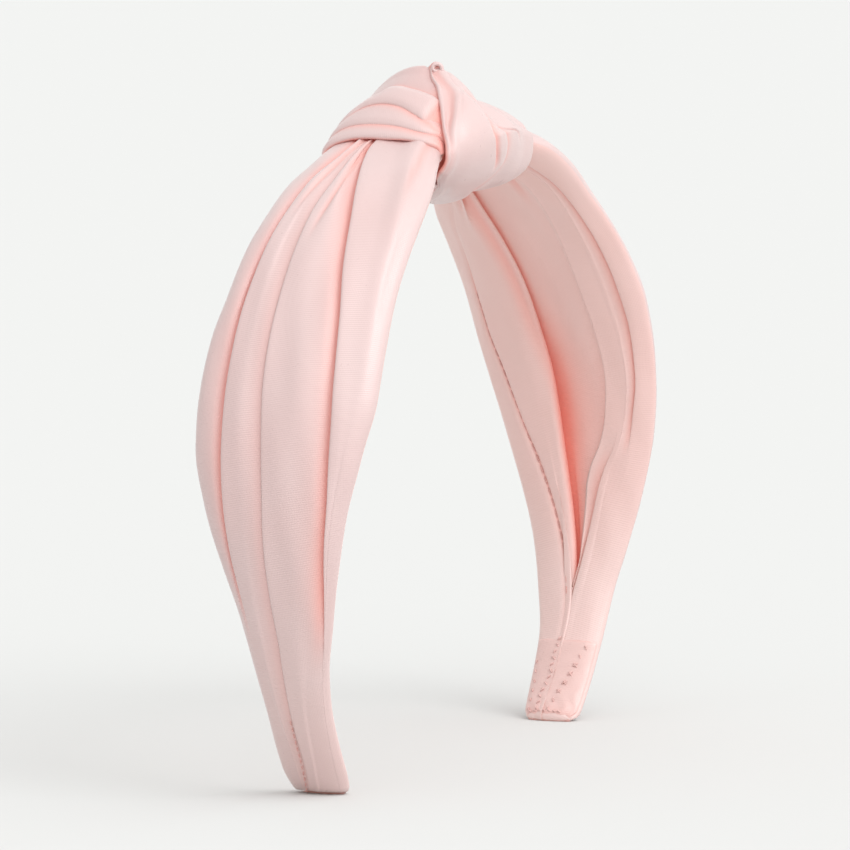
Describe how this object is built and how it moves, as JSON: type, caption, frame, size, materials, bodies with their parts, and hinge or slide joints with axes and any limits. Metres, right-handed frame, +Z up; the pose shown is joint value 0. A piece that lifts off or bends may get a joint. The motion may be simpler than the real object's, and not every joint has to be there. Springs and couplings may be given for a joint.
{
  "type": "knotted headband",
  "caption": "Sprung hair band covered in pleated satin, wide over the sides of the head, with a soft knot at the crown and narrow folded tips.",
  "frame": {"origin": "on the surface the band stands on, midway between its two tips", "axes": "+Z up from the tips to the crown, X from ear to ear with the right leg at +X, -Y towards the wearer's front"},
  "size_m": [0.158, 0.0386, 0.1378],
  "materials": {
    "satin": "pale pink satin, fine weave, soft sheen",
    "thread": "spun sewing thread, dyed to match",
    "core": "moulded, matt"
  },
  "bodies": {
    "crown": {"core_crown": "core", "crown_gather": "satin", "knot_pleats": "satin", "knot_wrap": "satin", "knot_tuck": "satin"},
    "left_leg": {"core_left": "core", "sleeve_left": "satin", "tip_wrap_left": "satin", "seam_stitches_left": "thread", "pleat_stitches_left": "thread", "tip_stitches_left": "thread"},
    "right_leg": {"core_right": "core", "sleeve_right": "satin", "tip_wrap_right": "satin", "seam_stitches_right": "thread", "pleat_stitches_right": "thread", "tip_stitches_right": "thread"}
  },
  "joints": [
    {"name": "left_leg_flex", "type": "hinge", "parent": "crown", "child": "left_leg", "pos_m": [-0.014, 0, 0.12266], "axis": [0, 1, 0], "range_deg": [-4, 10], "stiffness_Nm_per_rad": 0.9},
    {"name": "right_leg_flex", "type": "hinge", "parent": "crown", "child": "right_leg", "pos_m": [0.014, 0, 0.12266], "axis": [0, -1, 0], "range_deg": [-4, 10], "stiffness_Nm_per_rad": 0.9}
  ]
}
